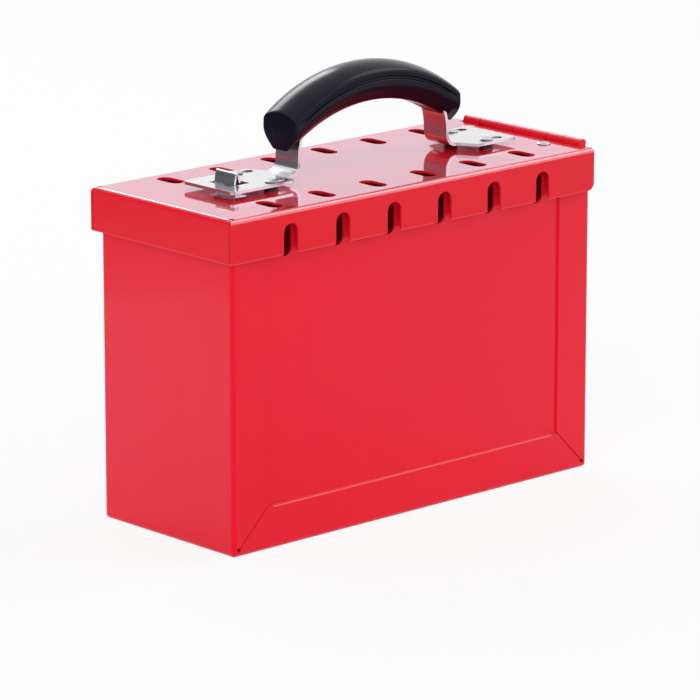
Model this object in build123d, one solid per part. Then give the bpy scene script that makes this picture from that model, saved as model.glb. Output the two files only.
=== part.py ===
"""Group lockout box: sheet-steel box, hinged lid and sliding carry handle.

Frame: millimetres, +Z up, origin at the centre of the bottom face.
X runs along the long side towards the hinge, the front looks along -Y.
"""
from build123d import *
from math import sqrt
import os

# Sheet-steel body
body_length = 235.0
body_depth = 94.0
body_height = 161.5
sheet = 1.2
bend_radius = 2.0
flange_width = 21.0
mitre_slit = 0.5
corner_relief_radius = 1.0
corner_relief_land = 0.4
panel_edge_gap = 2.5

# Lid
lid_overhang = 3.3
lid_seat_gap = 0.3
lid_skirt = 21.0
lid_bend_radius = 2.4
lid_end_setback = 0.5
lid_seam = 0.4
lid_relief_radius = 1.4
lid_relief_inset = 3.0
skirt_end_corner = 4.0

# Padlock openings, one row along each long side
padlock_count = 6
padlock_pitch = 33.0
padlock_row_centre = -1.2
top_slot_width = 8.0
top_slot_length = 16.0
top_slot_inset = 15.0
side_slot_width = 9.0
side_slot_bottom = 140.0
side_slot_top = 156.0
skirt_notch_rise = 0.5

# Butt hinge at the right end
knuckle_count = 7
knuckle_radius = 3.0
knuckle_gap = 0.3
barrel_length = 82.0
hinge_leaf_sheet = 1.2
hinge_leaf_width = 20.0
hinge_leaf_corner = 3.0
pin_running_clearance = 0.05
barrel_notch_clearance = 1.8
barrel_end_clearance = 0.5
wall_drop_at_barrel = 1.5
hinge_rivet_offset = 12.5
hinge_rivet_spacing = 53.0
rivet_radius = 2.0
rivet_head_radius = 4.2
rivet_head_height = 1.2
rivet_tail_radius = 3.2
rivet_tail_height = 1.0
rivet_hole_clearance = 0.05
head_rim_share = 0.45
head_flat_share = 0.6

# Handle strap
strap_sheet = 1.5
strap_width = 16.0
leg_spacing = 97.8
handle_centre = 8.6
foot_bend_radius = 5.7
strap_crown_height = 41.0
strap_crown_radius = 34.0
foot_plate_width = 35.0
foot_plate_corner = 2.0
foot_flare_start = 1.0
foot_flare_length = 5.0
left_foot_length = 51.2
right_foot_length = 38.0
foot_lift = 2.3

# Shoulder posts that guide the foot plates
handle_travel = 8.0
post_offset = 22.0
post_row_half_spacing = 12.5
post_radius = 2.0
post_collar_radius = 3.6
post_head_radius = 4.2
post_head_height = 1.3
post_slide_clearance = 0.3

# Grip
grip_length = 108.5
grip_width = 22.8
grip_top_rise = 49.2
grip_top_radius = 83.6
grip_under_rise = 28.9
grip_under_radius = 84.0
grip_crown = 2.0
grip_bevel = 2.4
grip_side_height = 9.0
grip_side_draft = 0.5
grip_keel_width = 10.0
grip_channel_clearance = 0.15
grip_station_count = 9

# Latch keeper at the left end
keeper_sheet = 1.2
keeper_width = 13.0
keeper_centre = -80.0
keeper_outer_width = 6.0
keeper_rise = 6.0
keeper_hook_clearance = 0.4
keeper_shelf_width = 24.0
keeper_flange_width = 38.0
keeper_flange_height = 19.0
keeper_bend_radius = 1.6
keeper_slot_clearance = 1.0
keeper_hook_entry = 5.6
keeper_rivet_spacing = 25.0
keeper_rivet_drop = 10.0

# Places worked out from the sizes
wall_x = body_length / 2
wall_y = body_depth / 2
lid_underside = body_height + lid_seat_gap
lid_top = lid_underside + sheet
lid_left = -wall_x - lid_overhang
lid_right = wall_x - lid_end_setback
lid_half_depth = wall_y + lid_overhang
skirt_bottom = lid_top - lid_skirt
hinge_z = lid_underside + knuckle_radius - hinge_leaf_sheet
hinge_x = wall_x - sheet + knuckle_radius - hinge_leaf_sheet
foot_bottom = lid_top + foot_lift
foot_top = foot_bottom + strap_sheet
foot_middle = foot_bottom + strap_sheet / 2
leg_xs = (handle_centre - leg_spacing / 2, handle_centre + leg_spacing / 2)
post_xs = (leg_xs[0] - post_offset, leg_xs[1] + post_offset)
top_slot_y = lid_half_depth - top_slot_inset
shelf_middle = lid_underside - lid_seat_gap - keeper_sheet / 2
cut_reach = 3.0


def block(low, high):
    """Box between two opposite corners."""
    size = [b - a for a, b in zip(low, high)]
    middle = [(a + b) / 2 for a, b in zip(low, high)]
    return Pos(*middle) * Box(*size)


def rod(radius, start, end):
    """Round rod from one point to another."""
    axis = Vector(*end) - Vector(*start)
    return Plane(origin=start, z_dir=axis) * Cylinder(
        radius, axis.length, align=(Align.CENTER, Align.CENTER, Align.MIN)
    )


def button_head(radius, height, seat, end):
    """Low round head: a short straight rim under a wide bevelled crown."""
    seat, end = Vector(*seat), Vector(*end)
    rim_end = seat + (end - seat) * head_rim_share
    crown_height = height * (1 - head_rim_share)
    crown = Plane(origin=rim_end, z_dir=end - seat) * Cone(
        radius, radius * head_flat_share, crown_height, align=(Align.CENTER, Align.CENTER, Align.MIN)
    )
    return rod(radius, tuple(seat), tuple(rim_end)) + crown


def stadium_prism(centre, length, width, rotation, plane, reach):
    """Round-ended slot cutter, extruded both ways from a plane."""
    outline = Pos(*centre) * Rot(0, 0, rotation) * SlotOverall(length, width)
    return extrude(plane * outline, reach, both=True)


def padlock_xs():
    """X of each padlock position along the box."""
    middle = (padlock_count - 1) / 2
    return [padlock_row_centre + (n - middle) * padlock_pitch for n in range(padlock_count)]


def knuckle_spans(first):
    """Y spans of every second knuckle, counted from the front."""
    pitch = barrel_length / knuckle_count
    half = knuckle_gap / 2
    spans = []
    for n in range(first, knuckle_count, 2):
        low = -barrel_length / 2 + n * pitch
        spans.append((low + (half if n else 0), low + pitch - (half if n < knuckle_count - 1 else 0)))
    return spans


def hinge_rivet_ys():
    """Y of the two rivets in each hinge leaf."""
    return (-hinge_rivet_spacing / 2, hinge_rivet_spacing / 2)


def keeper_rivet_ys():
    """Y of the two rivets in the keeper's flange."""
    return (-keeper_rivet_spacing / 2, keeper_rivet_spacing / 2)


def keeper_rivet_z():
    """Height of the keeper's rivets, behind the lid's skirt."""
    return lid_underside - keeper_rivet_drop


def post_points():
    """Centre of each shoulder post on the lid."""
    return [(x, side * post_row_half_spacing) for x in post_xs for side in (-1, 1)]


def body_wrap():
    """Left wall, bottom and right wall bent from one strip, with mitred flanges."""
    low = (-wall_x, -wall_y, 0)
    high = (wall_x, wall_y, body_height + cut_reach)
    outer = block(low, high)
    outer = fillet(outer.edges().filter_by(lambda e: e.center().Z < high[2] - 1), bend_radius)
    inner = block(
        (-wall_x + sheet, -wall_y + sheet, sheet),
        (wall_x - sheet, wall_y - sheet, high[2] + cut_reach),
    )
    inner_edges = inner.edges().filter_by(lambda e: e.center().Z < high[2] + cut_reach - 1)
    inner = fillet(inner_edges, bend_radius - sheet)
    wrap = outer - inner
    wrap -= block((-wall_x - 1, -wall_y - 1, body_height), (wall_x + 1, wall_y + 1, high[2] + 1))
    window_x = wall_x - flange_width
    for side in (-1, 1):
        face_y = side * wall_y
        wrap -= block(
            (-window_x, min(face_y - side * (sheet + bend_radius), face_y + side), flange_width),
            (window_x, max(face_y - side * (sheet + bend_radius), face_y + side), body_height + 1),
        )
        for end in (-1, 1):
            wrap -= mitre_cut(end, side)
    notch_half = barrel_length / 2 + barrel_end_clearance
    wrap -= block(
        (wall_x - 2 * sheet, -notch_half, body_height - wall_drop_at_barrel),
        (wall_x + 1, notch_half, body_height + 1),
    )
    for y in hinge_rivet_ys():
        z = hinge_z - hinge_rivet_offset
        hole = rivet_radius + rivet_hole_clearance
        wrap -= rod(hole, (wall_x - 2 * sheet, y, z), (wall_x + 1, y, z))
    for y in keeper_rivet_ys():
        hole = rivet_radius + rivet_hole_clearance
        z = keeper_rivet_z()
        wrap -= rod(hole, (-wall_x - 1, y, z), (-wall_x + 2 * sheet, y, z))
    return wrap


def mitre_cut(end, side):
    """Diagonal slit between a side flange and the bottom flange, ending in a round corner relief."""
    inset = bend_radius + corner_relief_radius + corner_relief_land
    run = (flange_width - inset) * sqrt(2)
    slit_y = side * (wall_y - sheet / 2)
    inner_corner = Pos(end * (wall_x - flange_width), slit_y, flange_width)
    middle = Pos(end * (run - mitre_slit) / 2, 0, 0)
    slit = inner_corner * Rot(0, end * 45, 0) * middle * Box(run + mitre_slit, 2 * sheet, mitre_slit)
    centre = (end * (wall_x - inset), inset)
    relief = rod(
        corner_relief_radius,
        (centre[0], side * (wall_y - 2 * sheet), centre[1]),
        (centre[0], side * (wall_y + sheet), centre[1]),
    )
    return slit + relief


def side_panel(side):
    """Flat front or back panel behind the flanges, with its padlock slots."""
    outer_y = side * (wall_y - sheet)
    inner_y = side * (wall_y - 2 * sheet)
    half = wall_x - sheet - panel_edge_gap
    panel = block(
        (-half, min(outer_y, inner_y), sheet + panel_edge_gap),
        (half, max(outer_y, inner_y), body_height),
    )
    plane = Plane.XZ.offset(-(outer_y + inner_y) / 2)
    height = side_slot_top - side_slot_bottom
    middle = (side_slot_top + side_slot_bottom) / 2
    for x in padlock_xs():
        panel -= stadium_prism((x, middle), height, side_slot_width, 90, plane, 2 * sheet)
    return panel


def lid():
    """Lid pan with three skirts, padlock openings and the cut-out for the hinge barrel."""
    outer = block((lid_left, -lid_half_depth, skirt_bottom), (lid_right, lid_half_depth, lid_top))
    folds = outer.edges().filter_by(lambda e: e.center().Z > lid_top - 0.01 and e.center().X < lid_right - 1)
    outer = fillet(folds, lid_bend_radius)
    inner = block(
        (lid_left + sheet, -lid_half_depth + sheet, skirt_bottom - 1),
        (lid_right + 1, lid_half_depth - sheet, lid_underside),
    )
    inner_folds = inner.edges().filter_by(
        lambda e: e.center().Z > lid_underside - 0.01 and e.center().X < lid_right
    )
    inner = fillet(inner_folds, lid_bend_radius - sheet)
    pan = outer - inner
    for side in (-1, 1):
        seam_y = side * (lid_half_depth - sheet - lid_seam / 2)
        pan -= block(
            (lid_left - 1, seam_y - lid_seam / 2, skirt_bottom - 1),
            (lid_left + sheet + 0.2, seam_y + lid_seam / 2, lid_top - lid_relief_inset),
        )
        relief = (lid_left + lid_relief_inset, side * (lid_half_depth - lid_relief_inset))
        pan -= rod(lid_relief_radius, (*relief, lid_underside - 2), (*relief, lid_top + 1))
        pan -= skirt_end_cut(side)
    notch_half = barrel_length / 2 + barrel_end_clearance
    notch_x = hinge_x - knuckle_radius - barrel_notch_clearance
    pan -= block((notch_x, -notch_half, lid_underside - 1), (lid_right + 1, notch_half, lid_top + 1))
    pan -= lid_padlock_cuts()
    pan -= keeper_opening(lid_underside - 1, lid_top + 1, keeper_slot_clearance)
    for x, y in post_points():
        pan -= rod(post_radius + rivet_hole_clearance, (x, y, lid_underside - 1), (x, y, lid_top + 1))
    for y in hinge_rivet_ys():
        x = hinge_x - hinge_rivet_offset
        pan -= rod(rivet_radius + rivet_hole_clearance, (x, y, lid_underside - 1), (x, y, lid_top + 1))
    return pan


def skirt_end_cut(side):
    """Rounded lower corner at the hinge end of a long skirt."""
    corner = Plane.XZ * (
        Pos(lid_right - skirt_end_corner / 2, skirt_bottom + skirt_end_corner / 2)
        * Rectangle(skirt_end_corner + 0.02, skirt_end_corner + 0.02)
        - Pos(lid_right - skirt_end_corner, skirt_bottom + skirt_end_corner) * Circle(skirt_end_corner)
    )
    cutter = extrude(corner, sheet * 2, both=True)
    return Pos(0, side * (lid_half_depth - sheet / 2), 0) * cutter


def lid_padlock_cuts():
    """Round-ended slots in the top and matching notches up from the skirts' lower edges."""
    cuts = []
    notch_top = side_slot_top + skirt_notch_rise
    notch_bottom = skirt_bottom - side_slot_width
    for side in (-1, 1):
        skirt_plane = Plane.XZ.offset(-side * (lid_half_depth - sheet / 2))
        for x in padlock_xs():
            cuts.append(
                stadium_prism((x, side * top_slot_y), top_slot_length, top_slot_width, 90,
                              Plane.XY.offset(lid_underside + sheet / 2), 2 * sheet)
            )
            cuts.append(
                stadium_prism((x, (notch_top + notch_bottom) / 2), notch_top - notch_bottom,
                              side_slot_width, 90, skirt_plane, sheet)
            )
    return cuts


def keeper_opening(bottom, top, entry):
    """Rectangular opening round the keeper, longer on the hinge side by the given entry."""
    half = keeper_outer_width / 2
    half_y = keeper_width / 2 + keeper_slot_clearance
    return block(
        (keeper_centre - half - keeper_slot_clearance, -half_y, bottom),
        (keeper_centre + half + entry, half_y, top),
    )


def knuckle_rings(spans):
    """Rolled knuckles of one leaf."""
    rings = [rod(knuckle_radius, (hinge_x, low, hinge_z), (hinge_x, high, hinge_z)) for low, high in spans]
    return rings


def pin_bore():
    """Bore through every knuckle for the pin."""
    reach = barrel_length / 2 + 1
    bore = knuckle_radius - hinge_leaf_sheet
    return rod(bore, (hinge_x, -reach, hinge_z), (hinge_x, reach, hinge_z))


def lid_hinge_leaf():
    """Flat leaf under the lid, rolled up round the pin at every second knuckle."""
    half = barrel_length / 2
    clear_x = hinge_x - knuckle_radius - knuckle_gap
    z_low = lid_underside - hinge_leaf_sheet
    leaf = block((hinge_x - hinge_leaf_width, -half, z_low), (clear_x, half, lid_underside))
    free_corners = leaf.edges().filter_by(Axis.Z).filter_by(lambda e: e.center().X < clear_x - 1)
    leaf = fillet(free_corners, hinge_leaf_corner)
    spans = knuckle_spans(1)
    for low, high in spans:
        leaf += block((clear_x, low, z_low), (hinge_x, high, lid_underside))
    leaf += knuckle_rings(spans)
    leaf -= pin_bore()
    for y in hinge_rivet_ys():
        x = hinge_x - hinge_rivet_offset
        leaf -= rod(rivet_radius + rivet_hole_clearance, (x, y, z_low - 1), (x, y, lid_underside + 1))
    return leaf


def body_hinge_leaf():
    """Flat leaf on the inside of the right wall, with the other knuckles."""
    half = barrel_length / 2
    clear_z = hinge_z - knuckle_radius - knuckle_gap
    x_high = wall_x - sheet
    x_low = x_high - hinge_leaf_sheet
    leaf = block((x_low, -half, hinge_z - hinge_leaf_width), (x_high, half, clear_z))
    free_corners = leaf.edges().filter_by(Axis.X).filter_by(lambda e: e.center().Z < clear_z - 1)
    leaf = fillet(free_corners, hinge_leaf_corner)
    spans = knuckle_spans(0)
    for low, high in spans:
        leaf += block((x_low, low, clear_z), (x_high, high, hinge_z))
    leaf += knuckle_rings(spans)
    leaf -= pin_bore()
    for y in hinge_rivet_ys():
        z = hinge_z - hinge_rivet_offset
        leaf -= rod(rivet_radius + rivet_hole_clearance, (x_low - 1, y, z), (x_high + 1, y, z))
    return leaf


def hinge_pin():
    """Straight pin through the seven knuckles."""
    radius = knuckle_radius - hinge_leaf_sheet - pin_running_clearance
    half = barrel_length / 2
    return rod(radius, (hinge_x, -half, hinge_z), (hinge_x, half, hinge_z))


def rivet(head_seat, tail_seat):
    """Rivet with a button head on one face and a flat formed tail on the other."""
    head_point, tail_point = Vector(*head_seat), Vector(*tail_seat)
    outward = (head_point - tail_point).normalized()
    shank = rod(rivet_radius, tail_seat, head_seat)
    head_end = tuple(head_point + outward * rivet_head_height)
    head = button_head(rivet_head_radius, rivet_head_height, head_seat, head_end)
    tail_end = tuple(tail_point - outward * rivet_tail_height)
    return shank + head + rod(rivet_tail_radius, tail_end, tail_seat)


def lid_hinge_rivets():
    """Two rivets through the lid and its hinge leaf, heads on top."""
    x = hinge_x - hinge_rivet_offset
    z_tail = lid_underside - hinge_leaf_sheet
    return [rivet((x, y, lid_top), (x, y, z_tail)) for y in hinge_rivet_ys()]


def body_hinge_rivets():
    """Two rivets through the right wall and its hinge leaf, heads outside."""
    z = hinge_z - hinge_rivet_offset
    x_tail = wall_x - sheet - hinge_leaf_sheet
    return [rivet((wall_x, y, z), (x_tail, y, z)) for y in hinge_rivet_ys()]


def latch_keeper():
    """Bracket inside the left wall whose hook stands up through the lid and the foot plate."""
    wall_middle = -wall_x + sheet + keeper_sheet / 2
    hook_half = (keeper_outer_width - keeper_sheet) / 2
    up_x = keeper_centre - hook_half
    down_x = keeper_centre + hook_half
    hook_z = foot_top + keeper_rise - keeper_outer_width / 2
    tip_z = foot_top + keeper_hook_clearance
    split_x = up_x - 2 * keeper_bend_radius
    flange_low = shelf_middle + keeper_sheet / 2 - keeper_flange_height
    shelf_path = FilletPolyline(
        (wall_middle, 0, flange_low), (wall_middle, 0, shelf_middle), (split_x, 0, shelf_middle),
        radius=keeper_bend_radius,
    )
    riser = FilletPolyline(
        (split_x, 0, shelf_middle), (up_x, 0, shelf_middle), (up_x, 0, hook_z),
        radius=keeper_bend_radius,
    )
    top = ThreePointArc(
        (up_x, 0, hook_z), (keeper_centre, 0, hook_z + hook_half), (down_x, 0, hook_z)
    )
    hook_path = Wire(riser.edges() + top.edges() + Line((down_x, 0, hook_z), (down_x, 0, tip_z)).edges())
    shelf = strip(shelf_path, keeper_shelf_width, keeper_sheet)
    hook = strip(hook_path, keeper_width, keeper_sheet)
    flange = block(
        (wall_middle - keeper_sheet / 2, -keeper_flange_width / 2, flange_low),
        (wall_middle + keeper_sheet / 2, keeper_flange_width / 2, shelf_middle - 2 * keeper_bend_radius),
    )
    flange = fillet(flange.edges().filter_by(Axis.X), keeper_bend_radius)
    keeper = flange + shelf + hook
    for y in keeper_rivet_ys():
        z = keeper_rivet_z()
        hole = rivet_radius + rivet_hole_clearance
        keeper -= rod(hole, (wall_middle - keeper_sheet, y, z), (wall_middle + keeper_sheet, y, z))
    return keeper


def keeper_rivets():
    """Two rivets through the left wall and the keeper's flange."""
    z = keeper_rivet_z()
    x_tail = -wall_x + sheet + keeper_sheet
    return [rivet((-wall_x, y, z), (x_tail, y, z)) for y in keeper_rivet_ys()]


def strip(path, width, thickness):
    """Flat strip bent along a path in the XZ plane."""
    tangent = path % 0
    section = Plane(origin=path @ 0, x_dir=(0, 1, 0), z_dir=tangent) * Rectangle(width, thickness)
    return sweep(section, path)


def strap_path():
    """Centre line of the handle's strap from the left foot to the right foot."""
    crown_z = foot_middle + strap_crown_height
    left, right = leg_xs
    return FilletPolyline(
        (left - foot_bend_radius - foot_flare_start, 0, foot_middle),
        (left, 0, foot_middle),
        (left, 0, crown_z),
        (right, 0, crown_z),
        (right, 0, foot_middle),
        (right + foot_bend_radius + foot_flare_start, 0, foot_middle),
        radius=[foot_bend_radius, strap_crown_radius, strap_crown_radius, foot_bend_radius],
    )


def foot_plate(leg_x, direction, length):
    """Flat foot plate flaring out from the leg, with slots for its two posts."""
    neck_x = leg_x + direction * (foot_bend_radius + foot_flare_start)
    wide_x = neck_x + direction * foot_flare_length
    end_x = leg_x + direction * length
    neck, wide = strap_width / 2, foot_plate_width / 2
    outline = Polyline(
        (neck_x, -neck), (wide_x, -wide), (end_x, -wide), (end_x, wide), (wide_x, wide), (neck_x, neck),
        close=True,
    )
    face = make_face(outline)
    face = fillet(face.vertices().filter_by(lambda v: abs(v.Y) > wide - 0.01), foot_plate_corner)
    plate = extrude(Plane.XY.offset(foot_bottom) * face, strap_sheet)
    slot_width = 2 * (post_radius + post_slide_clearance)
    for x, y in post_points():
        if (x - leg_x) * direction > 0:
            centre = (x + handle_travel / 2, y)
            plate -= stadium_prism(centre, slot_width + handle_travel, slot_width, 0,
                                   Plane.XY.offset(foot_middle), strap_sheet)
    return plate


def handle_strap():
    """Steel strap of the handle: two foot plates, two legs and the arch inside the grip."""
    strap = strip(strap_path(), strap_width, strap_sheet)
    strap += foot_plate(leg_xs[0], -1, left_foot_length)
    strap += foot_plate(leg_xs[1], 1, right_foot_length)
    strap -= keeper_opening(foot_bottom - 1, foot_top + 1, keeper_hook_entry)
    return strap


def arch_height(rise, radius, x):
    """Height over the lid of an arch of the given radius, at a distance from its middle."""
    return lid_top + rise + (sqrt(radius ** 2 - x ** 2) - radius)


def grip_section(x):
    """Upright cross-section of the grip: crowned top, bevelled edges, sides drawn in to a keel."""
    top = arch_height(grip_top_rise + strap_sheet + foot_lift, grip_top_radius, x)
    bottom = arch_height(grip_under_rise + strap_sheet + foot_lift, grip_under_radius, x)
    half = grip_width / 2
    shoulder = top - grip_crown
    edge = shoulder - grip_bevel
    side_end = edge - grip_side_height
    low_half = half - grip_side_draft
    keel = grip_keel_width / 2
    bulge = ((low_half + keel) / 2 + (side_end - bottom) * 0.16, (side_end + bottom) / 2 - (low_half - keel) * 0.16)
    lines = []
    lines += ThreePointArc((-half + grip_bevel, shoulder), (0, top), (half - grip_bevel, shoulder)).edges()
    lines += Line((half - grip_bevel, shoulder), (half, edge)).edges()
    lines += Line((half, edge), (low_half, side_end)).edges()
    lines += ThreePointArc((low_half, side_end), bulge, (keel, bottom)).edges()
    lines += Line((keel, bottom), (-keel, bottom)).edges()
    lines += ThreePointArc((-keel, bottom), (-bulge[0], bulge[1]), (-low_half, side_end)).edges()
    lines += Line((-low_half, side_end), (-half, edge)).edges()
    lines += Line((-half, edge), (-half + grip_bevel, shoulder)).edges()
    plane = Plane(origin=(handle_centre + x, 0, 0), x_dir=(0, 1, 0), z_dir=(1, 0, 0))
    return plane * make_face(Wire(lines).edges())


def handle_grip():
    """Arched moulded grip with upright ends and a fitted channel for the strap."""
    middle = (grip_station_count - 1) / 2
    stations = [(n - middle) / middle * grip_length / 2 for n in range(grip_station_count)]
    grip = loft([grip_section(x) for x in stations])
    channel = strip(
        strap_path(), strap_width + 2 * grip_channel_clearance, strap_sheet + 2 * grip_channel_clearance
    )
    return grip - channel


def guide_posts():
    """Four shoulder posts riveted into the lid, holding the foot plates down."""
    posts = []
    for x, y in post_points():
        tail_z = lid_underside - rivet_tail_height
        collar_z = foot_bottom - post_slide_clearance
        head_z = foot_top + post_slide_clearance
        post = rod(rivet_tail_radius, (x, y, tail_z), (x, y, lid_underside))
        post += rod(post_radius, (x, y, lid_underside), (x, y, head_z))
        post += rod(post_collar_radius, (x, y, lid_top), (x, y, collar_z))
        post += button_head(post_head_radius, post_head_height, (x, y, head_z), (x, y, head_z + post_head_height))
        posts.append(post)
    return posts


def gather(shape):
    """One compound of the separate solids of a sub-part."""
    if isinstance(shape, list):
        return Compound(children=[s for piece in shape for s in piece.solids()])
    return Compound(children=list(shape.solids()))


PARTS = {
    "body_wrap": body_wrap,
    "front_panel": lambda: side_panel(-1),
    "back_panel": lambda: side_panel(1),
    "latch_keeper": latch_keeper,
    "keeper_rivets": keeper_rivets,
    "body_hinge_leaf": body_hinge_leaf,
    "body_hinge_rivets": body_hinge_rivets,
    "hinge_pin": hinge_pin,
    "lid": lid,
    "lid_hinge_leaf": lid_hinge_leaf,
    "lid_hinge_rivets": lid_hinge_rivets,
    "guide_posts": guide_posts,
    "handle_strap": handle_strap,
    "handle_grip": handle_grip,
}

os.makedirs("parts", exist_ok=True)
for name, make in PARTS.items():
    export_step(gather(make()), f"parts/{name}.step")
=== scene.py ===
"""Looks of the group lockout box: glossy red sheet steel, a bright steel handle strap and a black grip.

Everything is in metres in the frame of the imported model: origin at the centre of the bottom face,
+Z up, +X towards the lid's hinge, the front long side along -Y.
"""
import math

import bmesh
import bpy
import numpy as np
from bpy.props import FloatProperty, FloatVectorProperty, IntProperty, PointerProperty
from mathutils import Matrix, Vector


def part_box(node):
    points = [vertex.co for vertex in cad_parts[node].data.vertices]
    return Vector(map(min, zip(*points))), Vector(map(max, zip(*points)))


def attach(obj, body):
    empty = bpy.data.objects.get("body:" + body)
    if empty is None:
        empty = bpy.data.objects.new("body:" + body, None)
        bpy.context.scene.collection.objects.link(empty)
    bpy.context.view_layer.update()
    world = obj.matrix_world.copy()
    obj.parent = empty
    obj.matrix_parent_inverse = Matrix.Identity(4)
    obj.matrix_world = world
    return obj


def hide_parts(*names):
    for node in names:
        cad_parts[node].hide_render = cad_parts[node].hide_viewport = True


bl_info = {
    "name": "Group lockout box",
    "version": (1, 0, 0),
    "blender": (4, 5, 0),
    "location": "3D View > Sidebar > Lockout box",
    "description": "Dresses the packed lockout box in its paint, steel and grip, and sets its stage",
    "category": "Object",
}

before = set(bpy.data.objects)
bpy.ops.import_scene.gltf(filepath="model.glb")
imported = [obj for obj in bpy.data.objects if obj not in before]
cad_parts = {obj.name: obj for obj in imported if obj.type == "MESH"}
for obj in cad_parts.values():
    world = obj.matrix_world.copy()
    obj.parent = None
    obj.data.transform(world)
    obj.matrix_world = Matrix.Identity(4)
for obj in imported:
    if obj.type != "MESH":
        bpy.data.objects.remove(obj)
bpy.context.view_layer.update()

# Metres: points closer than the first are one, and edges shorter than the second are dropped.
MERGE_DISTANCE = 1e-6
SHORTEST_EDGE = 1e-7
# Metres over which a border between two finishes fades.
EDGE_SOFTNESS = 0.0004
FOLD_SOFTNESS = 0.0005
PLATE_SOFTNESS = 0.00006


def corners(node):
    """Lowest and highest corner of a CAD node as two arrays."""
    low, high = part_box(node)
    return np.array(low), np.array(high)


class Value:
    """A node's output on which plain arithmetic adds Math nodes."""

    def __init__(self, finish, socket):
        self.finish, self.socket = finish, socket

    def join(self, operation, other, swapped=False):
        """Math node with this value and another one, or with the two the other way round."""
        first, second = (other, self) if swapped else (self, other)
        return self.finish.add("ShaderNodeMath", {"operation": operation}, {0: first, 1: second})

    def __add__(self, other):
        return self.join("ADD", other)

    def __sub__(self, other):
        return self.join("SUBTRACT", other)

    def __rsub__(self, other):
        return self.join("SUBTRACT", other, swapped=True)

    def __mul__(self, other):
        return self.join("MULTIPLY", other)

    def __pow__(self, other):
        return self.join("POWER", other)

    def lowest(self, other):
        return self.join("MINIMUM", other)

    def highest(self, other):
        return self.join("MAXIMUM", other)


class Finish:
    """A node material under construction, with the few kinds of node that the finishes share."""

    def __init__(self, data):
        self.data = data
        data.use_nodes = True
        self.nodes, self.links = data.node_tree.nodes, data.node_tree.links

    def add(self, kind, settings=None, inputs=None, output=0):
        """Adds a node: its settings first, then the values or links of its sockets."""
        node = self.nodes.new(kind)
        for name, setting in (settings or {}).items():
            setattr(node, name, setting)
        for name, value in (inputs or {}).items():
            self.feed(node.inputs[name], value)
        return Value(self, node.outputs[output])

    def feed(self, socket, value):
        """Links a value to a socket, or sets the socket to a plain number or colour."""
        if isinstance(value, Value):
            self.links.new(value.socket, socket)
        else:
            socket.default_value = value

    def place(self):
        """Object coordinates, in metres."""
        return self.add("ShaderNodeTexCoord", output="Object")

    def stretched(self, scale):
        """Object coordinates scaled along each axis."""
        return self.add("ShaderNodeMapping", None, {"Vector": self.place(), "Scale": scale})

    def noise(self, scale, detail=2.0, coordinates=None):
        """Smooth noise between about 0.3 and 0.7."""
        inputs = {"Vector": coordinates or self.place(), "Scale": scale, "Detail": detail}
        return self.add("ShaderNodeTexNoise", None, inputs)

    def along(self, axis):
        """One object coordinate, in metres."""
        return self.add("ShaderNodeSeparateXYZ", None, {"Vector": self.place()}, axis)

    def above(self, axis, start, soft, way=1.0):
        """0 up to a place along an axis and 1 past it, with a soft step; way -1 measures the other way."""
        return ((self.along(axis) * way - start) * (1.0 / soft)).highest(0.0).lowest(1.0)

    def band(self, axis, middle, width):
        """1 on a plane across an axis, falling to 0 at half the width on either side."""
        away = self.add("ShaderNodeMath", {"operation": "ABSOLUTE"}, {0: self.along(axis) - middle})
        return (1.0 - away * (2.0 / width)).highest(0.0)

    def blend(self, share, first, second):
        """Colour mix by a share between 0 and 1."""
        node = self.nodes.new("ShaderNodeMix")
        node.data_type = "RGBA"
        for index, value in ((0, share), (6, first), (7, second)):
            self.feed(node.inputs[index], value)
        return Value(self, node.outputs[2])

    def bump(self, height, distance, strength=1.0):
        """Fine relief of a given height in metres."""
        inputs = {"Height": height, "Distance": distance, "Strength": strength}
        return self.add("ShaderNodeBump", None, inputs)

    def surface(self, **sockets):
        """Sets the Principled shader's sockets by name, spaces written as underscores."""
        shader = self.nodes["Principled BSDF"]
        for name, value in sockets.items():
            self.feed(shader.inputs[name.replace("_", " ")], value)
        return Value(self, shader.outputs[0])

    def show_mix(self, share, first, second):
        """Shows two shaders mixed by a share between 0 and 1."""
        mixed = self.add("ShaderNodeMixShader", None, {0: share, 1: first, 2: second})
        self.links.new(mixed.socket, self.nodes["Material Output"].inputs["Surface"])


def solid(colour):
    """Colour with full opacity."""
    return (*colour, 1.0)


def shade(colour, factor):
    """Colour made lighter or darker, with full opacity."""
    return tuple(min(1.0, part * factor) for part in colour) + (1.0,)


def glossed(finish, base, bump, strength, sharpness, colour, roughness, extra=None):
    """Lays a mirror-like skin over a shader.

    Its share is strength times the facing angle to the power sharpness, plus the extra where one is given.
    """
    facing = finish.add("ShaderNodeLayerWeight", None, {"Blend": 0.5}, "Facing")
    share = facing ** sharpness * strength
    if extra is not None:
        share = share + extra
    look = {"Color": solid(colour), "Roughness": roughness, "Normal": bump}
    skin = finish.add("ShaderNodeBsdfAnisotropic", None, look)
    finish.show_mix(share.lowest(1.0), base, skin)


def fold_shine(finish, sizes, folds):
    """Gloss added past the start of each fold (axis, start, way), above the height where the folds begin."""
    if not folds:
        return None
    shine = finish.above(2, sizes.fold_height, EDGE_SOFTNESS) * sizes.fold_gloss
    lit = [finish.above(axis, start, FOLD_SOFTNESS, way) for axis, start, way in folds]
    return shine * sum(lit[1:], start=lit[0])


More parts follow.
